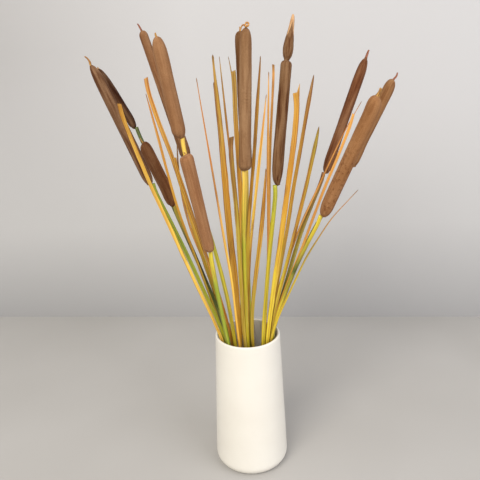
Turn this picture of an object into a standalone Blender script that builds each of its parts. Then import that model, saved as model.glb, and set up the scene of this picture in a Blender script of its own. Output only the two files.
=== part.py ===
"""Cattail stems and dried leaves standing in a ceramic vase.

The origin is the middle of the vase's foot, +Z is up and -Y is the front.
Lengths in the tables are millimetres; the model itself is in metres.
"""

import math

import bpy
import numpy as np

MM = 0.001

# Vase: one turned shell with an open mouth.
VASE_HEIGHT = 200.0
VASE_MOUTH_RADIUS = 44.5
VASE_FOOT_RADIUS = 52.5
VASE_WALL = 3.6
VASE_FLOOR = 5.0
VASE_FOOT_ROUND = 14.0
VASE_LIP_ROUND = 1.2
VASE_SIDES = 48

# Room kept between neighbours, between a stem and its head, and above the vase's floor.
GAP = 0.7
FOOT_GAP = 0.4

# Inside the vase the bunch turns by this angle down to the floor, and draws in to this share of its spread.
BUNCH_TURN = math.radians(50.0)
BUNCH_DRAW = 0.92

# Room kept for another stem at the back of the bunch: a way down from the mouth and a place for its foot,
# each as its limits in x, y and height.
CLEAR_WAYS = (
    ((-15, 12), (19, 35), (62, 206)),
    ((-27, -7), (8, 28), (10, 60)),
)

# Every line is worked out at even heights. It is smoothed, then moved aside bit by bit until none touch.
LEVEL_STEP = 10.0
SMOOTHING_PASSES = 4
SPACING_ROUNDS = 1200
SPACING_SLACK = 0.05
SPACING_MOST = 3.0
SPACING_REACH = 13
WALL_REACH = 5
ROOM_ABOVE_TIPS = 40.0
# Above this depth below the mouth lines part front to back, and below it they part sideways too, bit by bit.
MOUTH_DEPTH = 15.0
SIDEWAYS_EASING = 30.0
HEAD_MARGIN = 4.0
LEAF_MARGIN = 0.2

STEM_PIECES = 11
STEM_SIDES_RESOLUTION = 1
HEAD_SIDES_RESOLUTION = 4

# A leaf is this thick for its width. It is narrow in the vase and reaches its full width between two heights.
LEAF_PIECES = 11
LEAF_THICKNESS = 0.17
LEAF_FOOT_WIDTH = 3.6
LEAF_WIDENING = (150.0, 290.0)
LEAF_HEEL = 2.0

# A pointed leaf narrows over the length of its tip, down to a share of its width.
# Its path has more points there, at these shares of that length below its top.
TIP_POWER = 0.5
TIP_LEAST = 0.24
TIP_SHARES = (0.5, 0.2, 0.0)

# Each stalk: name, stem diameter, the head's lower end, upper end and tip in height,
# its diameter low down and high up, how long its rounded ends are (lower, upper),
# depth at the mouth and at the top, then its line seen from the front as (x, z) from the mouth upwards.
STALKS = (
    ("far_left_front", 5.0, (419, 555, 564), (12.9, 12.4), (20, 36), (-5, -55),
     ((-31, 200), (-55, 268), (-70, 316), (-93, 380), (-109, 420), (-135, 495), (-157, 556), (-163, 564))),
    ("far_left_back", 4.8, (478, 554, 556), (11.6, 11.6), (16, 34), (14, 70),
     ((-31, 200), (-46.5, 244), (-73.7, 319), (-96, 374), (-110, 415), (-130, 459), (-139, 479), (-161, 518),
      (-183, 555), (-188, 564))),
    ("left_inner", 4.8, (384, 465, 470), (15.2, 15.2), (22, 14), (2, -5),
     ((-27, 200), (-45, 253), (-70, 330), (-88.5, 384), (-101, 426), (-120, 465), (-123, 471))),
    ("upper_left_back", 5.0, (436, 598, 607), (15.4, 11.4), (12, 8), (19, 75),
     ((-20, 200), (-29, 262), (-43, 317), (-60, 386), (-72, 436), (-96, 518), (-120.4, 599), (-126.4, 608))),
    ("upper_left_front", 5.0, (471, 583, 587), (16.8, 16.2), (13, 24), (-14, -30),
     ((-18, 200), (-26, 271), (-39, 335), (-55, 400), (-67, 452), (-71, 472), (-79, 529), (-88.5, 583),
      (-89.5, 587))),
    ("lower_left_front", 5.4, (336, 457, 460), (13.6, 16.2), (8, 7), (-22, -70),
     ((-27, 200), (-36, 271), (-38, 291), (-42, 336), (-51, 399), (-60, 457), (-62, 461))),
    ("centre_front", 5.4, (431, 587, 589), (14.8, 13.0), (8, 18), (-16, -45),
     ((-1, 200), (-1, 260), (-1, 348), (2, 389), (4, 431), (8.6, 512), (10.2, 587), (11, 595))),
    ("centre_back", 5.0, (420, 592, 597), (15.0, 15.0), (12, 14), (8, 55),
     ((4, 200), (4, 300), (6, 380), (7, 420), (6.6, 508), (5.6, 592), (5, 597))),
    ("centre_right", 5.4, (408, 553, 602), (14.5, 13.4), (34, 6), (-20, -10),
     ((20, 200), (27, 271), (31, 315), (36, 351), (41.4, 400), (43.6, 412), (45.2, 440), (49.8, 484),
      (57, 554), (59.4, 567), (62.4, 587), (65.6, 602))),
    ("right", 5.2, (412, 553, 563), (12.8, 13.2), (24, 28), (4, 55),
     ((34, 200), (50, 248), (59, 279), (78, 339), (98, 385), (110.8, 412), (136.7, 483), (164, 553),
      (168.2, 563))),
    ("far_right_front", 4.8, (376, 512, 520), (15.4, 16.4), (20, 14), (-14, -80),
     ((31, 200), (50, 268), (68, 321), (84, 355), (95.1, 377), (122, 447), (148.2, 512), (150.3, 520))),
    ("far_right_back", 4.8, (419, 526, 534), (15.0, 14.6), (30, 16), (16, 45),
     ((31, 200), (41.5, 223), (58, 262), (74.2, 297), (83.1, 315), (104, 354), (127.5, 388), (149, 417),
      (151.5, 433), (166.5, 472), (182, 497), (198, 526), (203, 534))),
)
# The rounded ends follow a curve a little squarer than an ellipse, taken at these shares of its length.
HEAD_END_POWER = 2.3
HEAD_END_SHARES = (0.0, 0.08, 0.3, 0.62, 1.0)
SPINDLE_RADIUS = 1.5
SPINDLE_TIP_RADIUS = 0.7

# One stalk keeps its pollen flower above the seed head: its (height, diameter) from the neck up.
POLLEN_STALK = "centre_right"
POLLEN_FLOWER = ((555, 6.2), (558, 10.4), (566, 12.4), (577, 10.0), (586, 6.6), (594, 5.2))

# Each leaf: name, width, length of its pointed tip (none where it was cut square across), depth at the mouth
# and at the top, a turn about its length in degrees, then its line as (x, z) from the mouth upwards.
LEAVES = (
    ("outer_left", 4.4, 0, (-12, -68), 10,
     ((-34, 200), (-56, 262), (-64, 286), (-81, 341), (-97, 393), (-107, 422), (-131, 514))),
    ("broad_left", 5.6, 0, (3, 20), -12,
     ((-27, 200), (-47, 275), (-64, 342), (-73, 379), (-80, 423), (-93, 460), (-105, 498), (-115, 540))),
    ("olive_left", 4.2, 0, (-6, -18), 15,
     ((-22, 200), (-38, 270), (-56, 346), (-67, 383), (-74, 420), (-82, 447))),
    ("brown_left", 3.2, 50, (6, -30), 0,
     ((-33, 200), (-52, 270), (-71, 340), (-80, 373), (-85, 400), (-90, 429), (-97, 475), (-106, 523))),
    ("inner_left", 2.8, 50, (10, 35), 20,
     ((-23, 200), (-42, 262), (-61, 314), (-70, 336), (-75, 357), (-82, 397), (-83, 435), (-82, 463))),
    ("pink_left", 3.2, 200, (-24, -45), -10,
     ((-12.5, 200), (-16.8, 286), (-25.4, 350), (-32.8, 420), (-39.2, 476), (-46, 538))),
    ("gold_left", 7.8, 150, (-14, -25), 5,
     ((-11, 200), (-12, 262), (-18, 359), (-21, 436), (-23, 496), (-28, 562))),
    ("gold_left_back", 6.0, 120, (-5, 35), -15,
     ((-11, 200), (-15, 270), (-21, 350), (-25, 461), (-31, 532))),
    ("slim_centre_left", 2.8, 75, (4, 55), 0,
     ((-9, 200), (-6, 272), (-5.1, 302), (-5.5, 327), (-7.4, 359), (-9.2, 392), (-12.8, 426), (-16.6, 475),
      (-22.6, 563))),
    ("olive_centre_left", 5.6, 0, (-22, -45), 10,
     ((-5, 200), (-6, 290), (-7, 376), (-9, 408), (-11, 439), (-12, 472))),
    ("slim_centre", 2.8, 60, (8, 70), 0,
     ((-5, 200), (-4, 300), (-3, 420), (-5, 508), (-7, 545), (-11.5, 563))),
    ("tan_centre", 5.6, 0, (-10, -20), -8,
     ((-4, 200), (-3, 290), (-2, 386), (-2, 426), (-5, 472), (-4, 544))),
    ("golden_centre", 4.4, 60, (-14, -15), 12,
     ((-1, 200), (0.6, 267), (2.9, 313), (6.1, 356), (10.3, 397), (15.5, 437), (21.3, 502), (27.2, 559))),
    ("pale_centre", 4.0, 120, (4, 40), -10,
     ((24, 200), (28.7, 259), (31.9, 303), (33.5, 340), (34, 372), (34.3, 405), (35.8, 457), (39.1, 542))),
    ("brown_centre", 3.8, 70, (-3, -35), 15,
     ((1, 200), (2.6, 265), (5.8, 313), (11, 357), (18.3, 413), (25, 465), (31.8, 517))),
    ("amber_centre", 5.2, 60, (-24, -50), -6,
     ((6, 200), (5.9, 224), (6.9, 250), (10, 275), (16.4, 321), (22.3, 363), (28.7, 435))),
    ("orange_centre_back", 3.2, 0, (14, 65), 0,
     ((23, 200), (29.2, 254), (32.8, 299), (35.2, 336), (35.9, 368), (36.9, 401), (39.9, 455), (47.8, 551))),
    ("pale_right", 6.8, 0, (-24, -50), 10,
     ((25, 200), (36, 280), (48, 361), (53, 404), (59, 443), (62, 466), (65, 492), (66, 518))),
    ("gold_right", 4.6, 50, (-12, -5), -10,
     ((28, 200), (42, 280), (57, 353), (62, 392), (71, 437), (77, 470), (84, 510), (90, 536))),
    ("yellow_right", 5.2, 35, (-3, 25), 8,
     ((30, 200), (46, 262), (60, 309), (71, 352), (82, 392), (90, 426), (101, 473))),
    ("orange_right", 3.6, 0, (10, -20), 0,
     ((32, 200), (52, 262), (73, 312), (85, 350), (102, 401), (123, 453), (136, 490))),
    ("slim_right", 2.8, 150, (12, 25), 0,
     ((26, 200), (46, 262), (73, 340), (98, 396), (109, 414), (123, 450), (140, 480), (154, 502))),
    ("bent_right", 3.4, 170, (-20, -60), 10,
     ((30, 200), (42.5, 242), (52.3, 265), (74.1, 319), (81.6, 337), (87.8, 354), (96.9, 366), (111.4, 383),
      (134, 408))),
)


def material(name, colour, roughness):
    """A plain surface of one colour, given as red, green and blue from 0 to 1."""
    made = bpy.data.materials.new(name)
    made.use_nodes = True
    shader = made.node_tree.nodes["Principled BSDF"]
    shader.inputs["Base Color"].default_value = (*colour, 1.0)
    shader.inputs["Roughness"].default_value = roughness
    shader.inputs["Metallic"].default_value = 0.0
    return made


def smooth_line(points, levels):
    """The x of a line at each level, rounded off where its points would leave a corner."""
    z = [p[1] for p in points]
    x = [p[0] for p in points]
    slope = (x[-1] - x[-2]) / (z[-1] - z[-2])
    line = np.interp(levels, z, x)
    beyond = levels > z[-1]
    line[beyond] = x[-1] + slope * (levels[beyond] - z[-1])
    for _ in range(SMOOTHING_PASSES):
        line[1:-1] = (line[:-2] + 2.0 * line[1:-1] + line[2:]) / 4.0
    return line


def vase_inner_radius(z):
    """The radius of the hollow at a height above the table."""
    outer = VASE_FOOT_RADIUS + (VASE_MOUTH_RADIUS - VASE_FOOT_RADIUS) * z / VASE_HEIGHT
    corner = np.clip((VASE_FOOT_ROUND + VASE_FLOOR - z) / VASE_FOOT_ROUND, 0.0, 1.0)
    return outer - VASE_WALL - VASE_FOOT_ROUND * (1.0 - np.sqrt(1.0 - corner**2))


def head_radius(stalk, z):
    """The radius of a seed head at a height between its two ends."""
    low, high, _ = stalk[2]
    wide_low, wide_high = stalk[3]
    end_low, end_high = stalk[4]
    full = np.interp(z, (low, high), (wide_low, wide_high)) / 2.0
    from_end, length, end_radius = min(
        (z - low, end_low, stalk[1] / 2.0),
        (high - z, end_high, POLLEN_FLOWER[0][1] / 2.0 if stalk[0] == POLLEN_STALK else SPINDLE_RADIUS),
        key=lambda end: end[0] / end[1],
    )
    short = 1.0 - min(from_end / length, 1.0)
    return max(end_radius, full * (1.0 - short**HEAD_END_POWER) ** (1.0 / HEAD_END_POWER))


def stalk_radius(stalk, z):
    """The room that a stalk takes at a height: its stem, its head at full width, or what stands on that."""
    low, high, _ = stalk[2]
    if z < low - HEAD_MARGIN:
        return stalk[1] / 2.0
    if z < high + HEAD_MARGIN:
        return max(stalk[3]) / 2.0
    return max(d for _, d in POLLEN_FLOWER) / 2.0 if stalk[0] == POLLEN_STALK else SPINDLE_RADIUS


def leaf_width(leaf, z):
    """The width of a leaf at a height: narrow in the vase, full above it, and tapered to a pointed top."""
    width, tip_length, top = leaf[1], leaf[2], leaf[5][-1][1]
    width_here = np.interp(z, LEAF_WIDENING, (min(width, LEAF_FOOT_WIDTH), width))
    if tip_length:
        below = min(max(top - z, 0.0) / tip_length, 1.0)
        width_here *= max(TIP_LEAST, below**TIP_POWER)
    return width_here


def laid_out():
    """Every line at every level: names, x, y, half widths, half depths, and which levels it reaches."""
    highest = max(stalk[2][2] for stalk in STALKS)
    levels = np.arange(VASE_FLOOR, highest + ROOM_ABOVE_TIPS, LEVEL_STEP)
    rows = []
    for stalk in STALKS:
        half = np.array([stalk_radius(stalk, z) for z in levels])
        rows.append(("stalk", stalk[0], stalk[6], stalk[5], stalk[2][2], half, half))
    for leaf in LEAVES:
        half = np.array([leaf_width(leaf, z) / 2.0 for z in levels])
        deep = half * (LEAF_THICKNESS + abs(math.sin(math.radians(leaf[4])))) + LEAF_MARGIN
        rows.append(("leaf", leaf[0], leaf[5], leaf[3], leaf[5][-1][1], half, deep))
    lines_x, lines_y = [], []
    for _, _, points, (depth_low, depth_top), top, _, _ in rows:
        x = smooth_line(points, levels)
        y = np.interp(levels, (VASE_HEIGHT, top), (depth_low, depth_top))
        mouth = complex(points[0][0], depth_low)
        foot = mouth * complex(math.cos(BUNCH_TURN), math.sin(BUNCH_TURN)) * BUNCH_DRAW
        inside = levels < VASE_HEIGHT
        share = (VASE_HEIGHT - levels[inside]) / (VASE_HEIGHT - VASE_FLOOR)
        x[inside] = mouth.real * (1.0 - share) + foot.real * share
        y[inside] = mouth.imag * (1.0 - share) + foot.imag * share
        lines_x.append(x)
        lines_y.append(y)
    reach = np.array([levels <= row[4] + LEVEL_STEP for row in rows])
    half = np.array([row[5] for row in rows])
    deep = np.array([row[6] for row in rows])
    return rows, levels, np.array(lines_x), np.array(lines_y), half, deep, reach


def eased(change, width=SPACING_REACH):
    """A change spread along each line over a few levels, so that it bends the line and doesn't kink it."""
    reach = width // 2
    padded = np.pad(change, ((0, 0), (reach, reach)), mode="edge")
    window = np.hanning(width + 2)[1:-1]
    window /= window.sum()
    return np.array([np.convolve(row, window, mode="valid") for row in padded])


def push_clear(levels, x, y, half):
    """How far each line has to move, in x and in y, to leave the clear ways by their nearest side."""
    push_x, push_y = np.zeros_like(x), np.zeros_like(y)
    room = half + GAP
    for (x0, x1), (y0, y1), (z0, z1) in CLEAR_WAYS:
        depths = np.stack((x - x0 + room, x1 + room - x, y - y0 + room, y1 + room - y))
        at_height = (levels > z0 - LEVEL_STEP) & (levels < z1 + LEVEL_STEP)
        depth = depths.min(axis=0) * ((depths > 0.0).all(axis=0) & at_height)
        side = depths.argmin(axis=0)
        push_x += depth * ((side == 1) * 1.0 - (side == 0))
        push_y += depth * ((side == 3) * 1.0 - (side == 2))
    return push_x, push_y


def spaced(levels, x, y, half, deep, reach):
    """Eases lines apart wherever two would touch: front to back above the mouth, any way in the vase."""
    count = len(x)
    above = levels > VASE_HEIGHT - MOUTH_DEPTH
    inside = np.clip((VASE_HEIGHT - levels) / SIDEWAYS_EASING, 0.0, 1.0)
    wide = half[:, None] + half[None] + GAP
    thick = deep[:, None] + deep[None] + GAP
    both = (reach[:, None] & reach[None]) & ~np.eye(count, dtype=bool)[:, :, None]
    limit = vase_inner_radius(levels) - half - FOOT_GAP
    held = levels < VASE_HEIGHT

    dx, dy = x[None] - x[:, None], y[None] - y[:, None]
    crossing = both & above & (np.abs(dx) < wide)
    order = np.where((dy * crossing).sum(axis=2) < 0.0, -1.0, 1.0)[:, :, None]
    order = np.where(np.tri(count, dtype=bool)[:, :, None], -order.transpose(1, 0, 2), order)
    for _ in range(SPACING_ROUNDS):
        dx, dy = x[None] - x[:, None], y[None] - y[:, None]
        near = np.clip(np.abs(dx) / wide, 0.0, 1.0)
        needed = thick * (1.0 - near**3) ** (1.0 / 3.0)
        lack = np.clip(needed - dy * order, 0.0, None) * (both & above & (near < 1.0))
        apart = np.hypot(dx, dy) + 1e-9
        close = np.clip(wide - apart, 0.0, None) * (both & ~above)
        clear_x, clear_y = push_clear(levels, x, y, half)
        if max(lack.max(), close.max(), abs(clear_x).max(), abs(clear_y).max()) < SPACING_SLACK:
            break
        contacts = 1.0 + (lack > 0.0).sum(axis=1) + (close > 0.0).sum(axis=1)
        push_y = clear_y + (-lack * order - close * dy / apart).sum(axis=1) / contacts
        push_x = clear_x + (-close * dx / apart).sum(axis=1) / contacts
        y = y + eased(np.clip(push_y, -SPACING_MOST, SPACING_MOST))
        x = x + eased(np.clip(push_x, -SPACING_MOST, SPACING_MOST)) * inside
        room = np.sqrt(np.clip(limit**2 - np.minimum(np.abs(x), limit - 0.01) ** 2, 0.0, None))
        y = y + eased(np.where(held & (np.abs(y) > room), np.sign(y) * room - y, 0.0), WALL_REACH)
    return x, y


def tube(name, collection, path, sides_resolution, surface, section=None, tilt=0.0):
    """A solid that follows a path of (x, y, z, radius) in millimetres."""
    curve = bpy.data.curves.new(name, "CURVE")
    curve.dimensions = "3D"
    curve.twist_mode = "MINIMUM"
    spline = curve.splines.new("POLY")
    spline.points.add(len(path) - 1)
    for point, (x, y, z, radius) in zip(spline.points, path):
        point.co = (x * MM, y * MM, z * MM, 1.0)
        point.radius = radius
        point.tilt = tilt
    if section is None:
        curve.bevel_depth = MM
        curve.bevel_resolution = sides_resolution
    else:
        curve.bevel_mode = "OBJECT"
        curve.bevel_object = section
    curve.use_fill_caps = True
    curve.materials.append(surface)
    piece = bpy.data.objects.new(name, curve)
    collection.objects.link(piece)
    return piece


def leaf_section(collection):
    """A flat four-sided outline one millimetre wide, which each leaf scales to its own width."""
    outline = bpy.data.curves.new("leaf_section", "CURVE")
    outline.dimensions = "2D"
    spline = outline.splines.new("POLY")
    corners = ((-0.5, 0.0), (0.0, 0.5 * LEAF_THICKNESS), (0.5, 0.0), (0.0, -0.5 * LEAF_THICKNESS))
    spline.points.add(len(corners) - 1)
    for point, (x, y) in zip(spline.points, corners):
        point.co = (x * MM, y * MM, 0.0, 1.0)
    spline.use_cyclic_u = True
    guide = bpy.data.objects.new("leaf_section", outline)
    guide.hide_render = True
    guide.display_type = "WIRE"
    collection.objects.link(guide)
    return guide


def head_path(stalk, at):
    """The centreline and radius of a seed head with what stands on it, from its lower end to its tip."""
    name, _, (low, high, tip), _, (end_low, end_high), _, _ = stalk
    heights = [low + end_low * share for share in HEAD_END_SHARES]
    heights += [high - end_high * share for share in reversed(HEAD_END_SHARES)]
    path = [(*at(z), z, head_radius(stalk, z)) for z in heights]
    if name == POLLEN_STALK:
        path += [(*at(z), z, diameter / 2.0) for z, diameter in POLLEN_FLOWER]
    path.append((*at(tip), tip, SPINDLE_TIP_RADIUS))
    return path


def vase(collection, surface):
    """The vase: its outline turned about the upright axis, outside first and then the hollow."""
    def outer(z):
        return VASE_FOOT_RADIUS + (VASE_MOUTH_RADIUS - VASE_FOOT_RADIUS) * z / VASE_HEIGHT

    outline = []
    lip = VASE_LIP_ROUND
    for turn in (90.0, 45.0, 0.0):
        angle = math.radians(turn)
        outline.append((
            outer(VASE_HEIGHT) - lip + lip * math.cos(angle),
            VASE_HEIGHT - lip + lip * math.sin(angle),
        ))
    outline.append((outer(VASE_HEIGHT / 2.0), VASE_HEIGHT / 2.0))
    for turn in (0.0, 22.5, 45.0, 67.5, 90.0):
        angle = math.radians(turn)
        outline.append((
            outer(VASE_FOOT_ROUND) - VASE_FOOT_ROUND * (1.0 - math.cos(angle)),
            VASE_FOOT_ROUND * (1.0 - math.sin(angle)),
        ))
    outline.append((0.0, 0.0))
    outline.append((0.0, VASE_FLOOR))
    for turn in (90.0, 60.0, 30.0, 0.0):
        angle = math.radians(turn)
        outline.append((
            outer(VASE_FLOOR + VASE_FOOT_ROUND) - VASE_WALL - VASE_FOOT_ROUND * (1.0 - math.cos(angle)),
            VASE_FLOOR + VASE_FOOT_ROUND * (1.0 - math.sin(angle)),
        ))
    outline.append((outer(VASE_HEIGHT / 2.0) - VASE_WALL, VASE_HEIGHT / 2.0))
    for turn in (180.0, 135.0):
        angle = math.radians(turn)
        outline.append((
            outer(VASE_HEIGHT) - VASE_WALL + lip + lip * math.cos(angle),
            VASE_HEIGHT - lip + lip * math.sin(angle),
        ))
    mesh = bpy.data.meshes.new("vase")
    points = [(r * MM, 0.0, z * MM) for r, z in outline]
    edges = [(i, i + 1) for i in range(len(points) - 1)] + [(len(points) - 1, 0)]
    edges = [e for e in edges if not (points[e[0]][0] == 0.0 and points[e[1]][0] == 0.0)]
    mesh.from_pydata(points, edges, [])
    mesh.materials.append(surface)
    piece = bpy.data.objects.new("vase", mesh)
    collection.objects.link(piece)
    turned = piece.modifiers.new("turned", "SCREW")
    turned.steps = VASE_SIDES
    turned.render_steps = VASE_SIDES
    turned.use_merge_vertices = True
    turned.merge_threshold = 0.0001
    turned.use_smooth_shade = True
    return piece


def main():
    for old in list(bpy.data.objects):
        bpy.data.objects.remove(old)
    parts = bpy.data.collections.new("cattail_stems_in_vase")
    guides = bpy.data.collections.new("guides")
    bpy.context.scene.collection.children.link(parts)
    bpy.context.scene.collection.children.link(guides)
    brown = material("cattail_brown", (0.34, 0.18, 0.08), 0.95)
    green = material("dry_stem_green", (0.36, 0.36, 0.08), 0.6)
    gold = material("dry_leaf_gold", (0.62, 0.36, 0.09), 0.65)
    glaze = material("white_ceramic", (0.9, 0.87, 0.8), 0.4)

    vase(parts, glaze)
    rows, levels, x, y, half, deep, reach = laid_out()
    x, y = spaced(levels, x, y, half, deep, reach)
    section = leaf_section(guides)
    for i, row in enumerate(rows):
        def at(z, i=i):
            return float(np.interp(z, levels, x[i])), float(np.interp(z, levels, y[i]))

        foot = VASE_FLOOR + FOOT_GAP
        if row[0] == "stalk":
            stalk = STALKS[i]
            head_low = stalk[2][0]
            path = [
                (*at(z), z, stalk[1] / 2.0)
                for z in np.linspace(foot, head_low - FOOT_GAP, STEM_PIECES + 1)
            ]
            tube("stem_" + stalk[0], parts, path, STEM_SIDES_RESOLUTION, green)
            tube("head_" + stalk[0], parts, head_path(stalk, at), HEAD_SIDES_RESOLUTION, brown)
        else:
            leaf = LEAVES[i - len(STALKS)]
            # A short upright heel gives every leaf the same facing before its own turn.
            path = [(*at(foot), z, leaf_width(leaf, z)) for z in (foot, foot + LEAF_HEEL)]
            tip_length, top = leaf[2], leaf[5][-1][1]
            heights = list(np.linspace(foot, top - tip_length, LEAF_PIECES + 1)[1:])
            if tip_length:
                heights += [top - tip_length * share for share in TIP_SHARES]
            path += [(*at(z), z, leaf_width(leaf, z)) for z in heights]
            tube("leaf_" + leaf[0], parts, path, 0, gold, section, math.radians(leaf[4]))


main()
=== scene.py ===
import math

import bmesh
import bpy
import numpy as np
from mathutils import Matrix, Vector, noise


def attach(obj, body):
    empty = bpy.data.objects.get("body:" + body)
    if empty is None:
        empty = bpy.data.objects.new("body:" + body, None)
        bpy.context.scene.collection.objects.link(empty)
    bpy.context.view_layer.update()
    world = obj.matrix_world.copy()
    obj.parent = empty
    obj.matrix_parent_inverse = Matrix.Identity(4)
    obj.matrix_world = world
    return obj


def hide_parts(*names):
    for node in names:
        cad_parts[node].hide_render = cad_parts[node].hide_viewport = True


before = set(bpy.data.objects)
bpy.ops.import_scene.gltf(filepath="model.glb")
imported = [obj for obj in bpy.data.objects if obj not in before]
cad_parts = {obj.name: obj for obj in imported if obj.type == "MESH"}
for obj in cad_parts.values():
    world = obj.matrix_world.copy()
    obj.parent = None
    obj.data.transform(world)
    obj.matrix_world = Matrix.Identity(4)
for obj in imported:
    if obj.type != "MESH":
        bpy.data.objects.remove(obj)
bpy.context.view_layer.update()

# The vase: one white glazed stoneware pot, a little narrower at its mouth, with a thin soft rim and a
# rounded foot. It is turned in one outline: out along the foot, up the wall, over the rim and down inside.
MM = 0.001
VASE_HEIGHT = 200.0 * MM
VASE_MOUTH_RADIUS = 44.5 * MM
VASE_FOOT_RADIUS = 52.5 * MM
VASE_WALL = 3.6 * MM
VASE_FLOOR = 5.0 * MM
VASE_FOOT_ROUND = 14.0 * MM
VASE_RIM_ROUND = 1.6 * MM
FOOT_RING_WIDTH = 4.0 * MM
FOOT_RING_HEIGHT = 1.2 * MM
FOOT_RING_ROUND = 0.6 * MM
VASE_SIDES = 160


def turned(outline, sides):
    """A solid turned about the upright axis from its outline, given as (radius, height)."""
    bm = bmesh.new()
    points = [bm.verts.new((radius, 0.0, height)) for radius, height in outline]
    steps = [bm.edges.new(pair) for pair in zip(points, points[1:])]
    bmesh.ops.spin(
        bm, geom=points + steps, cent=(0, 0, 0), axis=(0, 0, 1), dvec=(0, 0, 0),
        angle=math.tau, steps=sides, use_merge=True, use_duplicate=False,
    )
    bmesh.ops.remove_doubles(bm, verts=bm.verts, dist=0.001 * MM)
    bmesh.ops.recalc_face_normals(bm, faces=bm.faces)
    return bm


def arc(centre_radius, centre_height, radius, start, end, count):
    """Points on a round corner of an outline, between two angles in degrees."""
    turns = np.radians(np.linspace(start, end, count))
    return [(centre_radius + radius * math.cos(t), centre_height + radius * math.sin(t)) for t in turns]


def finished(name, bm, materials, slot, *nodes):
    """Makes the bmesh a smooth-shaded piece of the object that stands for its CAD nodes."""
    mesh = bpy.data.meshes.new(name)
    bm.to_mesh(mesh)
    bm.free()
    mesh.polygons.foreach_set("use_smooth", [True] * len(mesh.polygons))
    for material in materials:
        mesh.materials.append(material)
    piece = bpy.data.objects.new(name, mesh)
    bpy.context.scene.collection.objects.link(piece)
    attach(piece, "root")
    if nodes:
        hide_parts(*nodes)
    return piece


def colour(code):
    """A colour from its hexadecimal code, as the linear values that a shader takes."""
    parts = [int(code[i:i + 2], 16) / 255.0 for i in (0, 2, 4)]
    return (*(c / 12.92 if c < 0.04045 else ((c + 0.055) / 1.055) ** 2.4 for c in parts), 1.0)


class Shader:
    """A node tree, with short ways to add and join its nodes."""

    def __init__(self, tree):
        self.tree = tree

    def put(self, socket, value):
        """Sets an input to a plain value, or joins it to another node's output."""
        if isinstance(value, bpy.types.NodeSocket):
            self.tree.links.new(value, socket)
        else:
            socket.default_value = value

    def add(self, kind, inputs=None, **settings):
        node = self.tree.nodes.new(kind)
        for key, value in settings.items():
            setattr(node, key, value)
        for key, value in (inputs or {}).items():
            self.put(node.inputs[key], value)
        return node

    def ramp(self, factor, stops):
        """A colour ramp from (place, hexadecimal colour) stops."""
        node = self.add("ShaderNodeValToRGB", {"Fac": factor})
        elements = node.color_ramp.elements
        elements[0].position, elements[0].color = stops[0][0], colour(stops[0][1])
        elements[1].position, elements[1].color = stops[-1][0], colour(stops[-1][1])
        for place, code in stops[1:-1]:
            elements.new(place).color = colour(code)
        return node.outputs["Color"]

    def mix(self, factor, a, b, blend="MIX"):
        """Two colours mixed by a factor."""
        inputs = {0: factor, 6: a, 7: b}
        return self.add("ShaderNodeMix", inputs, data_type="RGBA", blend_type=blend).outputs[2]

    def math(self, operation, a, b, clamp=False):
        return self.add("ShaderNodeMath", {0: a, 1: b}, operation=operation, use_clamp=clamp).outputs[0]

    def spread(self, value, low, high, to_low=0.0, to_high=1.0):
        """A value's range between two limits, spread over another range."""
        return self.add("ShaderNodeMapRange", {
            "Value": value, "From Min": low, "From Max": high, "To Min": to_low, "To Max": to_high,
        }).outputs["Result"]

    def noise(self, place, scale, detail=2.0):
        inputs = {"Vector": place, "Scale": scale, "Detail": detail}
        return self.add("ShaderNodeTexNoise", inputs).outputs["Fac"]

    def vector(self, operation, *values):
        inputs = dict(enumerate(values))
        return self.add("ShaderNodeVectorMath", inputs, operation=operation).outputs[0]

    def part(self, place, axis):
        return self.add("ShaderNodeSeparateXYZ", {"Vector": place}).outputs[axis]

    def stored(self, name, output):
        """A value that the mesh keeps for each of its points."""
        return self.add("ShaderNodeAttribute", attribute_name=name).outputs[output]

    def bumped(self, height, strength, distance):
        """A normal that follows a height."""
        inputs = {"Height": height, "Strength": strength, "Distance": distance}
        return self.add("ShaderNodeBump", inputs).outputs["Normal"]

    def object_place(self):
        return self.add("ShaderNodeTexCoord").outputs["Object"]


def new_material(name):
    """A material with its Principled BSDF, which the caller fills in."""
    material = bpy.data.materials.new(name)
    material.use_nodes = True
    return material, Shader(material.node_tree), material.node_tree.nodes["Principled BSDF"]


def fill(shader, surface, inputs):
    """Sets or joins the named inputs of a material's Principled BSDF."""
    for name, value in inputs.items():
        shader.put(surface.inputs[name], value)


def glaze():
    """Creamy white glaze: slightly uneven, with a few pinholes and faint iron specks."""
    material, shader, surface = new_material("white_glaze")
    place = shader.object_place()
    cloud, ripple = shader.noise(place, 14.0, 3.0), shader.noise(place, 90.0)
    speck = shader.add("ShaderNodeTexVoronoi", {"Vector": place, "Scale": 240.0}).outputs["Distance"]
    rare = shader.spread(shader.noise(place, 60.0), 0.58, 0.64)
    speck = shader.math("MULTIPLY", shader.spread(speck, 0.03, 0.075, 1.0, 0.0), rare)
    base = shader.ramp(cloud, ((0.3, "DCD7CB"), (0.7, "E1DDD2")))
    base = shader.mix(shader.math("MULTIPLY", speck, 0.5), base, colour("B79F7E"))
    height = shader.math("ADD", ripple, shader.math("MULTIPLY", speck, -0.6))
    fill(shader, surface, {
        "Base Color": base, "Roughness": shader.spread(ripple, 0.3, 0.7, 0.34, 0.46),
        "Normal": shader.bumped(height, 0.12, 0.2 * MM), "Coat Weight": 0.25, "Coat Roughness": 0.18,
    })
    return material


def wall_radius(height):
    """The radius of the outside of the vase at a height."""
    return VASE_FOOT_RADIUS + (VASE_MOUTH_RADIUS - VASE_FOOT_RADIUS) * height / VASE_HEIGHT


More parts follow.
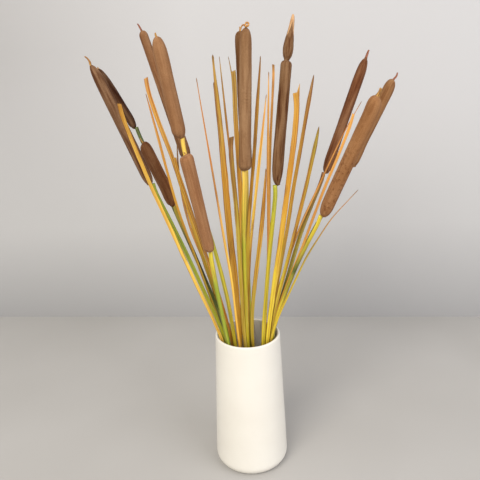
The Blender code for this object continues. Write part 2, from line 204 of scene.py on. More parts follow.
ring_inner = VASE_FOOT_RADIUS - VASE_FOOT_ROUND - FOOT_RING_WIDTH
outline = [(radius, FOOT_RING_HEIGHT) for radius in (0.0, ring_inner * 0.5, ring_inner - 1.5 * MM)]
outline += arc(ring_inner, FOOT_RING_ROUND, FOOT_RING_ROUND, 200.0, 270.0, 4)
foot_centre = wall_radius(VASE_FOOT_ROUND) - VASE_FOOT_ROUND
outline += arc(foot_centre, VASE_FOOT_ROUND, VASE_FOOT_ROUND, 270.0, 358.0, 16)
outline += [(wall_radius(z), z) for z in np.linspace(VASE_FOOT_ROUND + 3 * MM, VASE_HEIGHT - 4 * MM, 60)]
rim_height = VASE_HEIGHT - VASE_RIM_ROUND
outline += arc(VASE_MOUTH_RADIUS - VASE_RIM_ROUND, rim_height, VASE_RIM_ROUND, 0.0, 90.0, 7)
outline += arc(VASE_MOUTH_RADIUS - VASE_WALL + VASE_RIM_ROUND, rim_height, VASE_RIM_ROUND, 90.0, 180.0, 7)
inner_foot = VASE_FLOOR + VASE_FOOT_ROUND
inside = np.linspace(VASE_HEIGHT - 6 * MM, inner_foot + 3 * MM, 30)
outline += [(wall_radius(z) - VASE_WALL, z) for z in inside]
inner_centre = wall_radius(inner_foot) - VASE_WALL - VASE_FOOT_ROUND
outline += arc(inner_centre, inner_foot, VASE_FOOT_ROUND, 0.0, -90.0, 10)
outline += [(20 * MM, VASE_FLOOR), (0.0, VASE_FLOOR)]
finished("vase", turned(outline, VASE_SIDES), [glaze()], "vase", "vase")

# The stems: twelve round cattail stems, dried from green to straw, standing in the vase and spread out above
# its mouth. Each follows its own bent line, which is read from the CAD solid that it stands for.
LINE_LEVELS = 90
LINE_EASING = 6
STEM_RING_STEP = 3.0 * MM
STEM_SIDES = 28
STEM_RIB = 0.10 * MM
STEM_SWELL = 0.12 * MM
# The fibres of a stem's skin: how many across a metre, and how deep they look.
STEM_FIBRES = 1500.0
FIBRE_DEPTH = 0.12 * MM
# The colours change from this height up.
COLOUR_FOOT = 240.0 * MM
# Painted shade: stems and leaves are darkened inside the vase, fading out between these heights at its
# mouth.
PAINTED_VASE_SHADE = (165.0 * MM, 205.0 * MM)
# The colours of dried cattail, from fresh-cut green to sun-bleached straw and scorched brown.
DRIED = {
    "black green": "1E250E", "dark green": "48541A", "green": "8C9A24", "lime": "ADAE22", "yellow": "D4BC2C",
    "straw": "E4BC4A", "honey": "D8A436", "gold": "C69024", "deep gold": "B08018", "amber": "A4700E",
    "tan": "C0843A", "peach": "DCA04E", "olive": "A08A1C", "khaki": "9C7A2C", "brown": "7C4C18",
}
# Name, diameter in millimetres, then its colour at the foot, half way up and below the head.
STEMS = (
    ("far_left_front", 5.0, "lime", "green", "green"),
    ("far_left_back", 4.8, "dark green", "dark green", "dark green"),
    ("left_inner", 4.8, "dark green", "black green", "olive"),
    ("upper_left_back", 5.0, "yellow", "green", "green"),
    ("upper_left_front", 5.0, "yellow", "lime", "straw"),
    ("lower_left_front", 5.4, "green", "green", "yellow"),
    ("centre_front", 5.4, "yellow", "lime", "straw"),
    ("centre_back", 5.0, "lime", "olive", "straw"),
    ("centre_right", 5.4, "yellow", "yellow", "lime"),
    ("right", 5.2, "dark green", "olive", "brown"),
    ("far_right_front", 4.8, "yellow", "dark green", "yellow"),
    ("far_right_back", 4.8, "olive", "dark green", "brown"),
)


def eased(points):
    """A line of points, eased smooth between its two ends."""
    for _ in range(LINE_EASING):
        points[1:-1] = (points[:-2] + 2.0 * points[1:-1] + points[2:]) / 4.0
    return points


def line_of(node):
    """A CAD node's centres at even heights, eased smooth, and the way that it is widest."""
    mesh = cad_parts[node].data
    points = np.array([v.co for v in mesh.vertices])
    ends = np.array([e.vertices for e in mesh.edges])
    a, b = points[ends[:, 0]], points[ends[:, 1]]
    low, high = points[:, 2].min(), points[:, 2].max()
    heights = np.linspace(low + 0.05 * MM, high - 0.05 * MM, LINE_LEVELS)
    centres, sideways = [], []
    for height in heights:
        crossed = (a[:, 2] - height) * (b[:, 2] - height) < 0.0
        share = (height - a[crossed, 2]) / (b[crossed, 2] - a[crossed, 2])
        cut = a[crossed] + (b - a)[crossed] * share[:, None]
        gaps = np.linalg.norm(cut[:, None] - cut[None], axis=2)
        i, j = np.unravel_index(gaps.argmax(), gaps.shape)
        across = cut[j] - cut[i]
        centres.append((cut[i] + cut[j]) / 2.0)
        sideways.append(across if across[0] > 0.0 else -across)
    heights[0], heights[-1] = low, high
    return heights, eased(np.array(centres)), np.mean(sideways, axis=0)


def corners(mesh):
    """A mesh's points as rows of x, y and z."""
    points = np.zeros(len(mesh.vertices) * 3)
    mesh.vertices.foreach_get("co", points)
    return points.reshape(-1, 3)


def keep(mesh, name, kind, key, values):
    """Stores a value for each point of a mesh, for its material to read."""
    mesh.attributes.new(name, kind, "POINT").data.foreach_set(key, np.asarray(values, dtype=float).ravel())


def followed(mesh, line, facing=None):
    """Bends a straight upright mesh along a line, and keeps its straight shape for its material to read."""
    heights, centres = line[:2]
    straight = corners(mesh)
    along = np.gradient(centres, axis=0)
    along /= np.linalg.norm(along, axis=1)[:, None]
    if facing is None:
        depth = np.array((0.0, 1.0, 0.0)) - along * along[:, 1:2]
        depth /= np.linalg.norm(depth, axis=1)[:, None]
        side = np.cross(depth, along)
    else:
        side = facing - along * (along @ facing)[:, None]
        side /= np.linalg.norm(side, axis=1)[:, None]
        depth = np.cross(along, side)

    def at(values):
        return np.stack([np.interp(straight[:, 2], heights, values[:, k]) for k in range(3)], axis=1)

    # Beyond the two ends of the line the piece runs straight on.
    beyond = straight[:, 2] - np.clip(straight[:, 2], heights[0], heights[-1])
    place = at(centres) + at(along) * beyond[:, None]
    place += at(side) * straight[:, :1] + at(depth) * straight[:, 1:2]
    mesh.vertices.foreach_set("co", place.ravel())
    keep(mesh, "straight", "FLOAT_VECTOR", "vector", straight)
    mesh.update()


def bumps(points, size, height, seed, stretch=1.0):
    """Random heights over a surface, in lumps of a size that are longer upwards by a stretch."""
    scaled = points / (size, size, size * stretch) + seed
    return height * np.array([noise.noise(p) for p in scaled])


def fibre_group():
    """Fibres that run the length of a stem or leaf: fine, broad and patchy masks."""
    group = bpy.data.node_groups.new("lengthwise_fibres", "ShaderNodeTree")
    for name, kind in (("Straight", "Vector"), ("Across", "Float"), ("Seed", "Float")):
        group.interface.new_socket(name, in_out="INPUT", socket_type="NodeSocket" + kind)
    for name in ("Fine", "Broad", "Patch"):
        group.interface.new_socket(name, in_out="OUTPUT", socket_type="NodeSocketFloat")
    shader = Shader(group)
    given = shader.add("NodeGroupInput").outputs
    result = shader.add("NodeGroupOutput")
    seed = shader.add("ShaderNodeCombineXYZ", dict.fromkeys("XYZ", given["Seed"])).outputs[0]
    # Each mask: how close its fibres are across, how often they change along, and its detail.
    masks = {"Fine": (1.0, 18.0, 3.0), "Broad": (0.28, 7.0, 2.0), "Patch": (0.06, 26.0, 3.0)}
    for name, (wide, along, detail) in masks.items():
        across = shader.math("MULTIPLY", given["Across"], wide)
        scale = shader.add("ShaderNodeCombineXYZ", {"X": across, "Y": across, "Z": along}).outputs[0]
        placed = shader.vector("MULTIPLY_ADD", given["Straight"], scale, seed)
        shader.put(result.inputs[name], shader.noise(placed, 1.0, detail))
    return group


FIBRES = fibre_group()


def fibrous(name, seed, across, colours, top):
    """The start of a stem's or leaf's skin: its three colours up its length, darkened inside the vase by
    painted shade.
    """
    material, shader, surface = new_material(name)
    straight = shader.stored("straight", "Vector")
    inputs = {"Straight": straight, "Across": across, "Seed": seed}
    fibres = shader.add("ShaderNodeGroup", inputs, node_tree=FIBRES)
    fine, broad, patch = (fibres.outputs[k] for k in ("Fine", "Broad", "Patch"))
    height = shader.part(straight, "Z")
    uneven = shader.spread(patch, 0.3, 0.7, -0.12, 0.12)
    up = shader.math("ADD", shader.spread(height, COLOUR_FOOT, top), uneven, clamp=True)
    base = shader.ramp(up, [(place, DRIED[tone]) for place, tone in zip((0.05, 0.5, 0.95), colours)])
    # Painted shade: stems and leaves are darker inside the vase, below its mouth.
    base = shader.mix(shader.spread(height, *PAINTED_VASE_SHADE, 1.0, 0.0), base, colour("5A5030"), "MULTIPLY")
    return material, shader, surface, base, height, fine, broad, patch


def stem_skin(name, seed, colours, top):
    """Dry stem skin: smooth and a little glossy, with dark green and pale streaks and a few brown scars."""
    material, shader, surface, base, _, fine, broad, patch = fibrous(
        "stem_skin_" + name, seed, STEM_FIBRES, colours, top)
    base = shader.mix(shader.spread(broad, 0.34, 0.54, 0.7, 0.0), base, colour("8C9448"), "MULTIPLY")
    base = shader.mix(shader.spread(fine, 0.52, 0.72, 0.0, 0.28), base, colour("F3E07A"))
    scar = shader.math(
        "MULTIPLY", shader.spread(patch, 0.62, 0.72, 0.0, 0.7), shader.spread(fine, 0.42, 0.5, 1.0, 0.2))
    base = shader.mix(scar, base, colour("7A5426"))
    fill(shader, surface, {
        "Base Color": base, "Roughness": shader.spread(fine, 0.3, 0.7, 0.36, 0.55),
        "Normal": shader.bumped(fine, 0.5, FIBRE_DEPTH),
    })
    return material


for number, (name, diameter, *colours) in enumerate(STEMS):
    node = "stem_" + name
    line = line_of(node)
    low, high = line[0][0], line[0][-1]
    rings = np.linspace(low, high, int((high - low) / STEM_RING_STEP))
    outline = [(0.0, low)] + [(diameter / 2.0 * MM, z) for z in rings] + [(0.0, high)]
    skin = stem_skin(name, number * 3.7, colours, high)
    stem = finished(node, turned(outline, STEM_SIDES), [skin], "stem", node)
    round_stem = corners(stem.data)
    ribs = bumps(round_stem, 0.9 * MM, STEM_RIB, number * 2.3, 60.0)
    ribs += bumps(round_stem, 3.0 * MM, STEM_SWELL, number * 1.9, 14.0)
    round_stem[:, :2] *= 1.0 + ribs[:, None] / (diameter / 2.0 * MM)
    stem.data.vertices.foreach_set("co", round_stem.ravel())
    followed(stem.data, line)

# The leaves: twenty-three dried cattail leaves, long straps of spongy fibre with a shallow channel along
# them. Some keep their pointed tips and others were cut across; each runs down into the vase on its own.
LEAF_SIDES = 44
LEAF_RING_STEP = 2.5 * MM
LEAF_THICKNESS = 0.13
LEAF_CHANNEL = 0.13
LEAF_RIB = 0.07 * MM
LEAF_FOOT_WIDTH = 3.6
LEAF_WIDENING = (150.0, 290.0)
LEAF_TWIST = math.radians(9.0)
TIP_POWER = 0.5
TIP_LEAST = 0.3
TIP_ROUND = 2.5
LEAF_FIBRES = 2600.0
# Pointed tips are scorched, and so are two old cuts. The other cuts are fresh, and hardly are.
SCORCH_LENGTH = 12.0 * MM
OLD_CUTS = ("olive_centre_left", "orange_centre_back")
FRESH_SCORCH = 0.12
# Cut ends slant one way or the other, and fray down to a depth. One has a strip of its edge torn up: how
# much that end slants, and how long the strip is and how far it leans outwards.
CUT_SLANTS = (-0.25, 0.35)
CUT_DEPTH = 8.0 * MM
TORN_LEAF = "pale_right"
TORN_SLANT = 0.1
TORN_LENGTH, TORN_LEAN = 9.0 * MM, 2.6 * MM
# Name, width and length of its pointed tip in millimetres (none where it was cut across), then its colour at
# the foot, half way up and at the top.
LEAVES = (
    ("outer_left", 4.4, 0, "straw", "straw", "amber"),
    ("broad_left", 5.6, 0, "olive", "honey", "tan"),
    ("olive_left", 4.2, 0, "gold", "brown", "deep gold"),
    ("brown_left", 3.2, 50, "olive", "gold", "tan"),
    ("inner_left", 2.8, 50, "tan", "tan", "brown"),
    ("pink_left", 3.2, 200, "straw", "peach", "tan"),
    ("gold_left", 7.8, 150, "gold", "gold", "khaki"),
    ("gold_left_back", 6.0, 120, "straw", "tan", "brown"),
    ("slim_centre_left", 2.8, 75, "gold", "tan", "khaki"),
    ("olive_centre_left", 5.6, 0, "olive", "olive", "brown"),
    ("slim_centre", 2.8, 60, "gold", "tan", "khaki"),
    ("tan_centre", 5.6, 0, "straw", "gold", "khaki"),
    ("golden_centre", 4.4, 60, "yellow", "gold", "amber"),
    ("pale_centre", 4.0, 120, "gold", "peach", "peach"),
    ("brown_centre", 3.8, 70, "amber", "straw", "peach"),
    ("amber_centre", 5.2, 60, "olive", "deep gold", "amber"),
    ("orange_centre_back", 3.2, 0, "gold", "deep gold", "tan"),
    ("pale_right", 6.8, 0, "yellow", "gold", "gold"),
    ("gold_right", 4.6, 28, "olive", "deep gold", "brown"),
    ("yellow_right", 5.2, 22, "yellow", "gold", "olive"),
    ("orange_right", 3.6, 0, "gold", "tan", "peach"),
    ("slim_right", 2.8, 150, "gold", "tan", "tan"),
    ("bent_right", 3.4, 170, "yellow", "olive", "tan"),
)


def leaf_width(width, tip_length, top, height):
    """The width of a leaf at a height, in millimetres: narrow in the vase and tapered to a pointed top."""
    here = np.interp(height, LEAF_WIDENING, (min(width, LEAF_FOOT_WIDTH), width))
    if tip_length:
        below = np.clip((top - height) / tip_length, 0.0, 1.0)
        rounded = np.clip((top - height) / TIP_ROUND, 0.0, 1.0) ** 0.5
        here = here * np.maximum(TIP_LEAST, below**TIP_POWER) * rounded
    return here


def leaf_skin(name, seed, colours, top, scorch):
    """Dry leaf: close parallel veins, darker along its edges as painted shade, and scorched at its tip by a
    share.
    """
    material, shader, surface, base, height, fine, broad, patch = fibrous(
        "leaf_skin_" + name, seed, LEAF_FIBRES, colours, top)
    base = shader.mix(shader.spread(broad, 0.36, 0.56, 0.8, 0.0), base, colour("C89C50"), "MULTIPLY")
    base = shader.mix(shader.spread(fine, 0.48, 0.68, 0.0, 0.28), base, colour("FBDD84"))
    # Painted shade: the leaf is darkened along both its edges, unevenly.
    painted_edge_shade = shader.math("ADD", shader.stored("margin", "Fac"), shader.spread(patch, 0.3, 0.7, -0.14, 0.14))
    base = shader.mix(shader.spread(painted_edge_shade, 0.84, 1.0, 0.0, 0.9), base, colour("9A7038"), "MULTIPLY")
    fleck = shader.math(
        "MULTIPLY", shader.spread(patch, 0.58, 0.7, 0.0, 0.75), shader.spread(fine, 0.44, 0.52, 1.0, 0.1))
    base = shader.mix(fleck, base, colour("7C4E1E"))
    at_tip = shader.spread(height, top - SCORCH_LENGTH, top - 1.0 * MM)
    scorched = shader.math("MULTIPLY", at_tip, shader.spread(fine, 0.35, 0.6, scorch, 0.7 * scorch))
    base = shader.mix(scorched, base, colour("62400F"))
    fill(shader, surface, {
        "Base Color": base, "Roughness": shader.spread(fine, 0.3, 0.7, 0.46, 0.64),
        "Specular IOR Level": 0.35, "Normal": shader.bumped(fine, 0.6, FIBRE_DEPTH),
    })
    return material


for number, (name, width, tip_length, *colours) in enumerate(LEAVES):
    node = "leaf_" + name
    line = line_of(node)
    low, high = line[0][0], line[0][-1]
    rings = np.linspace(low, high, int((high - low) / LEAF_RING_STEP))
    if tip_length:
        rings = np.append(rings[:-1], high - TIP_ROUND * MM * np.array((0.9, 0.6, 0.35, 0.15, 0.05, 0.01)))
        rings.sort()
    outline = [(0.0, low), (0.5, low)] + [(1.0, z) for z in rings] + [(0.5, rings[-1]), (0.0, rings[-1])]
    scorch = 1.0 if tip_length or name in OLD_CUTS else FRESH_SCORCH
    skin = leaf_skin(name, number * 5.3, colours, high, scorch)
    leaf = finished(node, turned(outline, LEAF_SIDES), [skin], "leaf", node)
    strap = corners(leaf.data)
    across, through = strap[:, 0].copy(), strap[:, 1].copy()
    keep(leaf.data, "margin", "FLOAT", "value", abs(across))
    half = leaf_width(width, tip_length, high / MM, strap[:, 2] / MM) / 2.0 * MM
    half *= 1.0 + bumps(strap * (0.0, 0.0, 1.0), 16.0 * MM, 0.10, number * 4.1)
    strap[:, 0] = half * across
    ribs = bumps(strap, 0.55 * MM, LEAF_RIB, number * 1.7, 90.0) * np.sign(through)
    strap[:, 1] = half * (LEAF_THICKNESS * through + LEAF_CHANNEL * (1.0 - across**2))
    strap[:, 1] += ribs * (1.0 - abs(across))
    twist = bumps(strap * (0.0, 0.0, 1.0), 90.0 * MM, LEAF_TWIST, number * 3.1)
    strap[:, 0], strap[:, 1] = (
        strap[:, 0] * np.cos(twist) - strap[:, 1] * np.sin(twist),
        strap[:, 0] * np.sin(twist) + strap[:, 1] * np.cos(twist),
    )
    if not tip_length:
        # The cut end slants and its fibres stand out unevenly.
        slant = TORN_SLANT if name == TORN_LEAF else CUT_SLANTS[number % 2]
        along_cut = across[:, None] * (3.0, 0.0, 0.0) * MM
        torn = bumps(along_cut, 0.7 * MM, 1.0 * MM, number)
        share = np.clip(1.0 - (high - strap[:, 2]) / CUT_DEPTH, 0.0, 1.0)
        strap[:, 2] += share * (slant * half * across + torn - 0.5 * MM)
        if name == TORN_LEAF:
            strip = share * np.clip((across - 0.84) / 0.12, 0.0, 1.0)
            strap[:, 2] += TORN_LENGTH * strip
            strap[:, 0] += TORN_LEAN * strip
    leaf.data.vertices.foreach_set("co", strap.ravel())
    followed(leaf.data, line, line[2])

# The seed heads: twelve brown heads, each a dense velvet of tiny packed seeds round the top of its stem.
# A thin dry spindle stands on most, the remains of the pollen flower, and one still has that flower whole.
HEAD_SIDES = 84
HEAD_RING_STEP = 0.7 * MM
HEAD_END_POWER = 2.6
# The lumps of the velvet: their size and height, a seed, and how much longer they are upwards.
VELVET_LUMPS = (
    (30.0 * MM, 0.35 * MM, 5.7, 1.8), (7.0 * MM, 0.14 * MM, 3.3, 1.5), (1.3 * MM, 0.10 * MM, 2.9, 1.0),
)
# Name, stem diameter, upper end of the velvet, its diameter low down and high up, and the length of its
# rounded ends (lower, upper), all in millimetres; then its colour, how streaked it is, and how blotched.
HEADS = (
    ("far_left_front", 5.0, 555, (12.9, 12.4), (20, 36), "6F5037", 0.9, 0.3),
    # far_left_back's brown is darkened beyond its own dark tone as painted shade, for the shadow of
    # far_left_front.
    ("far_left_back", 4.8, 554, (11.6, 11.6), (16, 34), "3E210E", 0.8, 0.1),
    ("left_inner", 4.8, 465, (15.2, 15.2), (22, 14), "734828", 0.5, 0.2),
    ("upper_left_back", 5.0, 598, (15.4, 11.4), (12, 8), "7F5838", 0.3, 0.1),
    ("upper_left_front", 5.0, 583, (16.8, 16.2), (13, 24), "8F6744", 0.1, 0.1),
    ("lower_left_front", 5.4, 457, (13.6, 16.2), (8, 7), "956945", 0.1, 0.1),
    ("centre_front", 5.4, 587, (14.8, 13.0), (8, 18), "8A6847", 0.2, 0.3),
    ("centre_back", 5.0, 592, (15.0, 15.0), (12, 14), "664220", 0.3, 0.1),
    ("centre_right", 5.4, 553, (14.5, 13.4), (34, 6), "755537", 1.0, 0.1),
    ("right", 5.2, 553, (12.8, 13.2), (24, 28), "70462A", 0.6, 0.1),
    ("far_right_front", 4.8, 512, (15.4, 16.4), (20, 14), "93673F", 0.1, 1.0),
    ("far_right_back", 4.8, 526, (15.0, 14.6), (48, 16), "875F3A", 0.3, 0.1),
)
# What stands on a head: its radius at its foot and at its tip, how far its middle bows aside, and its tone.
SPINDLES = {
    "far_left_front": (1.2, 0.9, 1.8, "gold"), "upper_left_back": (1.5, 0.9, 0.5, "red"),
    "upper_left_front": (1.3, 0.9, 0.0, "gold"), "right": (1.9, 1.1, -0.5, "red"),
    "far_right_front": (2.4, 1.3, 0.3, "gold"), "far_right_back": (1.4, 0.9, 0.5, "red"),
}
NO_SPINDLE = (1.2, 0.6, 0.0, "gold")
WOOD_FIBRES = 1400.0
# The one with small ripples: their height, how far they reach, which way they face, and their spacing.
RIPPLED_HEAD = "centre_front"
RIPPLES = (513.0 * MM, 7.0 * MM, -1.4, 3.6 * MM)
# The one that keeps its pollen flower: the (height, diameter) of that from its neck up.
POLLEN_HEAD = "centre_right"
POLLEN_FLOWER = (
    (553.6, 6.0), (555.2, 7.6), (557.5, 10.2), (561, 12.0), (566, 12.6), (571, 11.6), (577, 10.0),
    (582, 8.0), (586, 6.6), (591, 5.6), (596, 4.8), (600, 3.4),
)
POLLEN_TIP = 1.3
POLLEN_FOLD = 0.55 * MM
# Its pale husk starts at this share of its length, unevenly.
HUSK_START, HUSK_UNEVEN = 0.68, 0.16


def velvet(name, seed, main, streaks, blotches, low, top):
    """Brown velvet of packed seeds: soft mottling, brushed streaks, darker blotches and a fine nap."""
    material, shader, surface = new_material("velvet_" + name)
    straight = shader.stored("straight", "Vector")
    moved = shader.vector("ADD", straight, (seed, seed, seed))

    def lumps(stretch, scale, detail):
        return shader.noise(shader.vector("MULTIPLY", moved, (1.0, 1.0, stretch)), scale, detail)

    cloud, brushed = lumps(0.5, 60.0, 3.0), lumps(0.07, 330.0, 3.0)
    blotch, nap = lumps(1.2, 230.0, 3.0), lumps(1.0, 2200.0, 2.0)
    base = shader.mix(shader.spread(cloud, 0.3, 0.7, 0.0, 0.1), colour(main), colour("EAC79C"))
    dark = shader.spread(brushed, 0.36, 0.56, 0.25 + 0.75 * streaks, 0.0)
    base = shader.mix(dark, base, colour("B3947E"), "MULTIPLY")
    pale = shader.spread(brushed, 0.55, 0.75, 0.0, 0.08 + 0.1 * streaks)
    base = shader.mix(pale, base, colour("C9A27A"))
    # The blotches lie low down and about the middle, and fade out above.
    middle, upper = low + 0.45 * (top - low), low + 0.8 * (top - low)
    lower = shader.spread(shader.part(straight, "Z"), middle, upper, 0.65 * blotches, 0.15 * blotches)
    stain = shader.math("MULTIPLY", shader.spread(blotch, 0.32, 0.44, 1.0, 0.0), lower)
    base = shader.mix(stain, base, colour("B09078"), "MULTIPLY")
    base = shader.mix(shader.spread(nap, 0.4, 0.6, 0.5, 0.0), base, colour("B89E88"), "MULTIPLY")
    height = shader.math("ADD", nap, shader.math("MULTIPLY", brushed, 1.5 * streaks))
    fill(shader, surface, {
        "Base Color": base, "Roughness": 0.95, "Specular IOR Level": 0.15,
        "Sheen Weight": 0.05, "Sheen Roughness": 0.4, "Normal": shader.bumped(height, 0.7, 0.25 * MM),
    })
    return material


def dry_wood(name, dark, middle, pale):
    """Bare dry wood of what stands on the heads, in three tones of its fibres."""
    material, shader, surface = new_material(name)
    inputs = {"Straight": shader.stored("straight", "Vector"), "Across": WOOD_FIBRES, "Seed": 8.0}
    fine = shader.add("ShaderNodeGroup", inputs, node_tree=FIBRES).outputs["Fine"]
    fill(shader, surface, {
        "Base Color": shader.ramp(fine, ((0.35, dark), (0.5, middle), (0.68, pale))),
        "Roughness": 0.6, "Normal": shader.bumped(fine, 0.6, 0.1 * MM),
    })
    return material


RED_WOOD = dry_wood("dry_spindle_red", "4A200C", "78381A", "9A6238")
GOLD_WOOD = dry_wood("dry_spindle_gold", "5E3C10", "96641E", "C09A50")
FLOWER_HUSK = dry_wood("pollen_husk", "9A6A3C", "BC9060", "D6B080")
CURL_WOOD = dry_wood("dry_curl", "7A4A1C", "A8702E", "D6A860")


def head_outline(stem, low, crown, wide, ends, neck):
    """The radius of the velvet at close heights from its lower end to its crown, in metres."""
    near = np.sin(np.linspace(0.0, math.pi / 2.0, 12)) ** 2
    count = int((crown - low - sum(ends)) * MM / HEAD_RING_STEP)
    middle = np.linspace(low + ends[0], crown - ends[1], count)
    heights = np.concatenate((low + ends[0] * near, middle[1:-1], crown - ends[1] * near[::-1]))
    points = []
    for z in heights:
        full = np.interp(z, (low, crown), wide) / 2.0
        from_end, length, least = min(
            (z - low, ends[0], stem / 2.0), (crown - z, ends[1], neck), key=lambda end: end[0] / end[1])
        short = 1.0 - min(max(from_end, 0.0) / length, 1.0)
        radius = max(least, full * (1.0 - short**HEAD_END_POWER) ** (1.0 / HEAD_END_POWER))
        points.append((radius * MM, z * MM))
    return points


for number, (name, stem, crown, wide, ends, main, streaks, blotches) in enumerate(HEADS):
    node = "head_" + name
    line = line_of(node)
    low, high = line[0][0], line[0][-1]
    top = crown * MM
    foot_radius, tip_radius, bow, tone = SPINDLES.get(name, NO_SPINDLE)
    if name == POLLEN_HEAD:
        foot_radius = POLLEN_FLOWER[0][1] / 2.0
    outline = [(0.0, low)] + head_outline(stem, low / MM, crown, wide, ends, foot_radius)
    if name == POLLEN_HEAD:
        grown = np.arange(POLLEN_FLOWER[0][0], POLLEN_FLOWER[-1][0], HEAD_RING_STEP / MM)
        outline += [(np.interp(z, *zip(*POLLEN_FLOWER)) / 2.0 * MM, z * MM) for z in grown]
        tip_radius = POLLEN_TIP
    else:
        for share in np.linspace(0.08, 0.92, 9):
            radius = foot_radius + (tip_radius - foot_radius) * share**0.7
            outline.append((radius * MM, top + (high - top) * share))
    outline += [(tip_radius * 0.7 * MM, high), (0.0, high + 0.2 * MM)]
    pile = velvet(name, number * 7.1, main, streaks, blotches, low, top)
    skins = [pile, RED_WOOD if tone == "red" else GOLD_WOOD, FLOWER_HUSK]
    head = finished(node, turned(outline, HEAD_SIDES), skins, "head", node)
    velvety = corners(head.data)
    radius = np.hypot(velvety[:, 0], velvety[:, 1])
    turn = np.arctan2(velvety[:, 1], velvety[:, 0])
    over = np.clip((velvety[:, 2] - top) / (high - top), 0.0, 1.0)
    lumps = sum(bumps(velvety, size, rise, number * seed, tall) for size, rise, seed, tall in VELVET_LUMPS)
    # Streaked heads have shallow folds along them.
    lumps += streaks * bumps(velvety, 3.2 * MM, 0.22 * MM, number * 1.3, 14.0)
    if name == POLLEN_HEAD:
        # The pollen flower has shrunk into deeper folds that wind a little.
        wound = turn * 5.0 + (velvety[:, 2] - top) * 60.0
        lumps -= POLLEN_FOLD * np.clip(over * 6.0, 0.0, 1.0) * (0.5 + 0.5 * np.cos(wound)) ** 3
    if name == RIPPLED_HEAD:
        # Its velvet is rucked into a few small ripples on its front.
        middle, reach, facing, spacing = RIPPLES
        rucked = np.exp(-(((velvety[:, 2] - middle) / reach) ** 2) - ((turn - facing) / 0.5) ** 2)
        lumps += 0.3 * MM * rucked * np.sin((velvety[:, 2] + 1.2 * MM * turn) / spacing * math.tau)
    lumps *= np.clip((radius - 1.6 * MM) / (3.0 * MM), 0.0, 1.0)
    if name != POLLEN_HEAD:
        rough = bumps(velvety, 1.4 * MM, 0.4 * MM, number * 2.1, 3.0)
        lumps = lumps * (over == 0.0) + rough * (over > 0.05)
    velvety[:, :2] *= (1.0 + lumps / np.maximum(radius, 1.0 * MM))[:, None]
    velvety[:, 0] += bow * MM * np.sin(math.pi * over)
    head.data.vertices.foreach_set("co", velvety.ravel())
    followed(head.data, line)
    # Above the crown a spindle's wood is bare, and the pollen flower ends in its husk.
    first = np.array([polygon.vertices[0] for polygon in head.data.polygons])
    if name == POLLEN_HEAD:
        bare = 2 * (over[first] > HUSK_START + HUSK_UNEVEN * np.sin(3.0 * turn[first]))
    else:
        bare = 1 * (over[first] > 0.0)
    head.data.polygons.foreach_set("material_index", bare)

# The dried curl: the spike of the front centre head, dried into a thin curl that loops once and hangs over
# to the left. It is one strand of dry wood, thickened like a knot where it crosses itself.
CURL_SIDES = 12
CURL_RINGS = 61
# It grows from the velvet at this height. Its points are in millimetres from there, and so are its radii.
CURL_FOOT = 587.0 * MM
CURL_PATH = (
    (0.3, -0.6, 0.0), (-0.5, -0.9, 2.2), (-0.2, -1.2, 4.4), (1.2, -1.6, 5.4), (2.8, -2.2, 4.6),
    (3.2, -2.8, 2.8), (2.0, -3.2, 1.4), (0.4, -3.2, 1.2), (-1.0, -2.8, 2.2), (-2.3, -2.2, 3.0),
    (-3.9, -1.6, 2.6), (-5.2, -1.2, 0.4), (-5.7, -1.0, -3.2),
)
CURL_RADII = (1.0, 0.9, 0.9, 1.0, 1.1, 1.0, 1.2, 1.3, 1.1, 0.9, 0.8, 0.7, 0.45)


def strand(path, radii, sides):
    """A closed round strand through the points of a path, each ring extruded from the one before."""
    ways = np.gradient(path, axis=0)
    bm = bmesh.new()
    ring = bmesh.ops.create_circle(bm, cap_ends=True, segments=sides, radius=1.0)["verts"]
    face = ring[0].link_faces[0]
    shape = np.array([v.co[:2] for v in face.verts])
    side = Vector((0.0, 1.0, 0.0))
    for index, (place, way, radius) in enumerate(zip(path, ways, radii)):
        if index:
            face = bmesh.ops.extrude_discrete_faces(bm, faces=[face])["faces"][0]
        way = Vector(way).normalized()
        across = way.cross(side).normalized()
        side = across.cross(way).normalized()
        for corner, (a, b) in zip(face.verts, shape):
            corner.co = Vector(place) + (across * a + side * b) * radius
    bmesh.ops.holes_fill(bm, edges=[edge for edge in bm.edges if edge.is_boundary])
    bmesh.ops.recalc_face_normals(bm, faces=bm.faces)
    return bm


crown_line = line_of("head_centre_front")
crown_place = np.array([np.interp(CURL_FOOT, crown_line[0], crown_line[1][:, k]) for k in range(3)])
smooth_at, given_at = np.linspace(0.0, len(CURL_PATH) - 1.0, CURL_RINGS), range(len(CURL_PATH))
curl_path = eased(np.stack([np.interp(smooth_at, given_at, column) for column in zip(*CURL_PATH)], axis=1))
curl_radii = np.interp(smooth_at, given_at, CURL_RADII)
curl_strand = strand(curl_path * MM + crown_place, curl_radii * MM, CURL_SIDES)
curl = finished("curl_centre_front", curl_strand, [CURL_WOOD], "head")
keep(curl.data, "straight", "FLOAT_VECTOR", "vector", corners(curl.data))

# The floor, the wall, the light and the camera: a plain pale floor with a plain pale wall close behind it,
# and soft daylight from the front left. The camera looks down a little, from where the photograph was taken.
FLOOR_SIZE = 6.0
WALL_DISTANCE = 0.462
WALL_TURN = math.radians(-4.8)
PAINT_ROUGHNESS = 0.8
CAMERA_PLACE = (0.0, -0.6462, 0.5367)
CAMERA_TURN = -0.0082
CAMERA_DIP = 0.3039
CAMERA_ROLL = -0.0408
CAMERA_LENS = 38.93


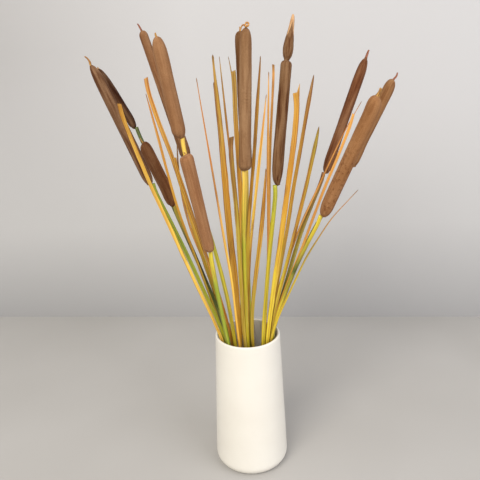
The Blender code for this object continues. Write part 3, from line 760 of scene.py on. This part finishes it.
def flat_sheet(name, material, tilt, turn, place):
    """A wide flat sheet of the set, tilted, turned and put in its place."""
    bm = bmesh.new()
    bmesh.ops.create_grid(bm, x_segments=1, y_segments=1, size=FLOOR_SIZE / 2.0)
    bmesh.ops.rotate(bm, verts=bm.verts, cent=(0, 0, 0), matrix=Matrix.Rotation(tilt, 3, "X"))
    bmesh.ops.rotate(bm, verts=bm.verts, cent=(0, 0, 0), matrix=Matrix.Rotation(turn, 3, "Z"))
    bmesh.ops.translate(bm, verts=bm.verts, vec=place)
    mesh = bpy.data.meshes.new(name)
    bm.to_mesh(mesh)
    bm.free()
    mesh.materials.append(material)
    sheet = bpy.data.objects.new(name, mesh)
    bpy.context.scene.collection.objects.link(sheet)


floor_paint, shader, surface = new_material("floor_paint")
cloud = shader.noise(shader.object_place(), 3.0)
paint = shader.mix(shader.spread(cloud, 0.3, 0.7, 0.0, 0.06), colour("A9A6A1"), colour("FFFFFF"))
fill(shader, surface, {"Base Color": paint, "Roughness": PAINT_ROUGHNESS})
flat_sheet("floor", floor_paint, 0.0, 0.0, (0.0, 0.0, 0.0))

# Painted shade makes the wall a little darker low down and towards its upper left corner.
wall_paint, shader, surface = new_material("wall_paint")
place = shader.object_place()
across, height = shader.part(place, "X"), shader.part(place, "Z")
corner = shader.math("MULTIPLY", shader.spread(across, -0.1, -0.5), shader.spread(height, 0.2, 0.6))
up = shader.math("MULTIPLY", height, 2.0)
paint = shader.ramp(up, ((0.0, "9D9C9B"), (0.45, "B8B7B5"), (1.0, "BCBBBA")))
paint = shader.mix(shader.math("MULTIPLY", corner, 0.45), paint, colour("8A8784"))
fill(shader, surface, {"Base Color": paint, "Roughness": PAINT_ROUGHNESS})
# It is seen only from its front, so that the views from behind look through it.
behind = shader.add("ShaderNodeNewGeometry").outputs["Backfacing"]
clear = shader.add("ShaderNodeBsdfTransparent").outputs[0]
seen = shader.add("ShaderNodeMixShader", {0: behind, 1: surface.outputs[0], 2: clear}).outputs[0]
shader.put(shader.tree.nodes["Material Output"].inputs["Surface"], seen)
flat_sheet("wall", wall_paint, math.radians(90.0), WALL_TURN, (0.0, WALL_DISTANCE, 0.0))

sky = bpy.data.worlds.new("room_light")
sky.use_nodes = True
sky.node_tree.nodes["Background"].inputs["Color"].default_value = colour("F4F5F8")
sky.node_tree.nodes["Background"].inputs["Strength"].default_value = 0.75
bpy.context.scene.world = sky


def window(name, place, target, size, power, tint):
    """A soft round light that shines from its place towards a target."""
    lamp = bpy.data.lights.new(name, "AREA")
    lamp.shape = "DISK"
    lamp.size = size
    lamp.energy = power
    lamp.color = colour(tint)[:3]
    holder = bpy.data.objects.new(name, lamp)
    holder.location = place
    holder.rotation_euler = (Vector(target) - Vector(place)).to_track_quat("-Z", "Y").to_euler()
    bpy.context.scene.collection.objects.link(holder)


window("window_left", (-0.9, -1.7, 1.8), (0.0, 0.0, 0.25), 1.6, 52.0, "FFF9F0")
window("room_fill", (1.5, -1.2, 1.1), (0.0, 0.0, 0.25), 1.8, 24.0, "F6F6FF")

lens = bpy.data.cameras.new("camera")
lens.lens = CAMERA_LENS
lens.sensor_width = 36.0
camera = bpy.data.objects.new("camera", lens)
camera.matrix_world = (
    Matrix.Translation(CAMERA_PLACE)
    @ Matrix.Rotation(-CAMERA_TURN, 4, "Z")
    @ Matrix.Rotation(math.pi / 2.0 - CAMERA_DIP, 4, "X")
    @ Matrix.Rotation(CAMERA_ROLL, 4, "Z")
)
bpy.context.scene.collection.objects.link(camera)
bpy.context.scene.camera = camera
bpy.context.scene.view_settings.view_transform = "Standard"
